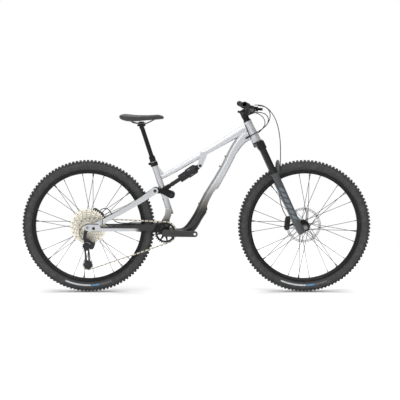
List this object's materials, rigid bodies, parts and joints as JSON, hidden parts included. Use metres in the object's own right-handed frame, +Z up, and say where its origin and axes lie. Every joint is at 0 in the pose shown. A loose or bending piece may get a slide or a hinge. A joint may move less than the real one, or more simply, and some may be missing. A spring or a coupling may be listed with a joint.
{
  "type": "mountain bike",
  "caption": "Full-suspension trail mountain bike with linkage frame, air shock, telescopic fork, disc brakes, single-ring drivetrain and dropper post.",
  "frame": {"origin": "on the ground at the middle of the wheelbase, in the bike's mid-plane", "axes": "+X forward, +Z up, drive side at -Y"},
  "size_m": [1.9598, 0.7896, 1.0746],
  "materials": {
    "frame_paint": "satin",
    "black_alloy": "satin anodised",
    "silver_alloy": "brushed",
    "champagne_steel": "nickel",
    "steel": "polished",
    "tyre_rubber": "matte",
    "rubber": "matte",
    "black_plastic": "matte",
    "fork_grey": "satin",
    "saddle_cover": "matte"
  },
  "bodies": {
    "frame": {"front_frame": "frame_paint", "frame_bearings": "steel", "frame_axles": "black_alloy", "seat_clamp": "black_alloy", "dropper_outer": "black_alloy", "cable_ports": "rubber", "bottle_bolts": "black_alloy", "down_tube_guard": "rubber", "chain": "champagne_steel"},
    "crankset": {"crank_arm_right": "black_alloy", "crank_arm_left": "black_alloy", "chainring": "black_alloy"},
    "chainstay": {"chainstays": "frame_paint", "chainstay_bearings": "steel", "chainstay_guard": "rubber", "rear_brake_hose": "black_plastic"},
    "seatstay": {"seatstays": "frame_paint", "rear_axle": "black_alloy", "stay_bolts": "black_alloy", "rear_caliper": "black_alloy", "derailleur_housing": "black_plastic", "derailleur_body": "black_alloy"},
    "cage": {"derailleur_cage": "black_alloy"},
    "guide_pulley": {"guide_pulley": "black_plastic"},
    "tension_pulley": {"tension_pulley": "black_plastic"},
    "rocker": {"rocker": "black_alloy"},
    "shock_body": {"shock_can": "black_alloy"},
    "shock_rod": {"shock_shaft": "black_alloy", "shock_yoke": "black_alloy"},
    "rear_wheel": {"rear_tyre": "tyre_rubber", "rear_rim": "black_alloy", "rear_spokes": "steel", "rear_hub": "black_alloy", "rear_rotor": "steel"},
    "cassette": {"cassette": "champagne_steel"},
    "steering": {"fork_crown": "black_alloy", "fork_stanchions": "black_alloy", "headset_spacers": "black_alloy", "stem": "black_alloy", "handlebar": "black_alloy", "grips": "rubber", "brake_clamps": "black_alloy", "shifter_body": "black_plastic", "frame_cables": "black_plastic", "front_brake_hose": "black_plastic"},
    "brake_lever_right": {"brake_lever_right": "black_alloy"},
    "brake_lever_left": {"brake_lever_left": "black_alloy"},
    "shift_lever": {"shift_lever": "black_alloy"},
    "dropper_lever": {"dropper_lever": "black_alloy"},
    "fork_slider": {"fork_lowers": "fork_grey", "front_axle": "black_alloy", "front_caliper": "black_alloy"},
    "front_wheel": {"front_tyre": "tyre_rubber", "front_rim": "black_alloy", "front_spokes": "steel", "front_hub": "black_alloy", "front_rotor": "steel"},
    "seatpost": {"seatpost": "black_alloy", "saddle_rails": "steel", "saddle": "saddle_cover"}
  },
  "joints": [
    {"name": "crank_spin", "type": "hinge", "parent": "frame", "child": "crankset", "pos_m": [-0.1736, 0, 0.342], "axis": [0, 1, 0], "continuous": true},
    {"name": "rear_suspension", "type": "hinge", "parent": "frame", "child": "chainstay", "pos_m": [-0.2, 0, 0.38], "axis": [0, 1, 0], "range_deg": [0, 19.5], "stiffness_Nm_per_rad": 120, "springref_deg": -20.05, "deforming": ["chain"]},
    {"name": "horst_pivot", "type": "hinge", "parent": "chainstay", "child": "seatstay", "pos_m": [-0.5719, 0, 0.3683], "axis": [0, 1, 0], "range_deg": [-9.77, 0], "deforming": ["rear_brake_hose", "derailleur_housing"]},
    {"name": "rocker_pivot", "type": "hinge", "parent": "frame", "child": "rocker", "pos_m": [-0.1399, 0, 0.5508], "axis": [0, 1, 0], "range_deg": [0, 49.02]},
    {"name": "shock_mount", "type": "hinge", "parent": "frame", "child": "shock_body", "pos_m": [0.0208, 0, 0.7143], "axis": [0, 1, 0], "range_deg": [0, 2.77]},
    {"name": "shock_stroke", "type": "slide", "parent": "shock_body", "child": "shock_rod", "axis": [0.8321, 0, 0.5547], "range_m": [0, 0.04483]},
    {"name": "cassette_spin", "type": "hinge", "parent": "seatstay", "child": "cassette", "pos_m": [-0.607, 0, 0.373], "axis": [0, 1, 0], "continuous": true},
    {"name": "rear_wheel_spin", "type": "hinge", "parent": "seatstay", "child": "rear_wheel", "pos_m": [-0.607, 0, 0.373], "axis": [0, 1, 0], "continuous": true},
    {"name": "cage_swing", "type": "hinge", "parent": "seatstay", "child": "cage", "pos_m": [-0.583, 0, 0.264], "axis": [0, 1, 0], "range_deg": [-30, 8], "stiffness_Nm_per_rad": 1.2, "springref_deg": -1.15},
    {"name": "guide_pulley_spin", "type": "hinge", "parent": "cage", "child": "guide_pulley", "pos_m": [-0.6165, 0, 0.2641], "axis": [0, 1, 0], "continuous": true},
    {"name": "tension_pulley_spin", "type": "hinge", "parent": "cage", "child": "tension_pulley", "pos_m": [-0.60828, 0, 0.15902], "axis": [0, 1, 0], "continuous": true},
    {"name": "steering", "type": "hinge", "parent": "frame", "child": "steering", "pos_m": [0.56712, 0, 0.35441], "axis": [-0.4226, 0, 0.9063], "range_deg": [-65, 65], "deforming": ["frame_cables", "front_brake_hose"]},
    {"name": "brake_right", "type": "hinge", "parent": "steering", "child": "brake_lever_right", "pos_m": [0.32479, -0.222, 1.03179], "axis": [0, 0, -1], "range_deg": [0, 16], "stiffness_Nm_per_rad": 2, "springref_deg": -5.73},
    {"name": "brake_left", "type": "hinge", "parent": "steering", "child": "brake_lever_left", "pos_m": [0.32479, 0.222, 1.03179], "axis": [0, 0, 1], "range_deg": [0, 16], "stiffness_Nm_per_rad": 2, "springref_deg": -5.73},
    {"name": "shift_click", "type": "hinge", "parent": "steering", "child": "shift_lever", "pos_m": [0.27022, -0.2256, 1.01411], "axis": [0, -1, 0], "range_deg": [0, 25], "stiffness_Nm_per_rad": 0.4, "springref_deg": -11.46},
    {"name": "dropper_click", "type": "hinge", "parent": "steering", "child": "dropper_lever", "pos_m": [0.27022, 0.2256, 1.01411], "axis": [0, -1, 0], "range_deg": [0, 25], "stiffness_Nm_per_rad": 0.4, "springref_deg": -11.46},
    {"name": "fork_travel", "type": "slide", "parent": "steering", "child": "fork_slider", "axis": [-0.4226, 0, 0.9063], "range_m": [0, 0.13], "stiffness_N_per_m": 3500, "springref_m": -0.02, "deforming": ["front_brake_hose"]},
    {"name": "front_wheel_spin", "type": "hinge", "parent": "fork_slider", "child": "front_wheel", "pos_m": [0.607, 0, 0.373], "axis": [0, 1, 0], "continuous": true},
    {"name": "seatpost_drop", "type": "slide", "parent": "frame", "child": "seatpost", "axis": [0.309, 0, -0.9511], "range_m": [0, 0.15], "stiffness_N_per_m": 150, "springref_m": -0.3}
  ],
  "couplings": [
    {"joint": "horst_pivot", "follows": "rear_suspension", "ratio": -0.4914},
    {"joint": "rocker_pivot", "follows": "rear_suspension", "ratio": 2.4644},
    {"joint": "shock_mount", "follows": "rear_suspension", "ratio": 0.1391},
    {"joint": "shock_stroke", "follows": "rear_suspension", "m_per_rad": 0.13041},
    {"joint": "cassette_spin", "follows": "crank_spin", "ratio": 1.25},
    {"joint": "guide_pulley_spin", "follows": "crank_spin", "ratio": -2.5},
    {"joint": "tension_pulley_spin", "follows": "crank_spin", "ratio": 2.1429}
  ]
}
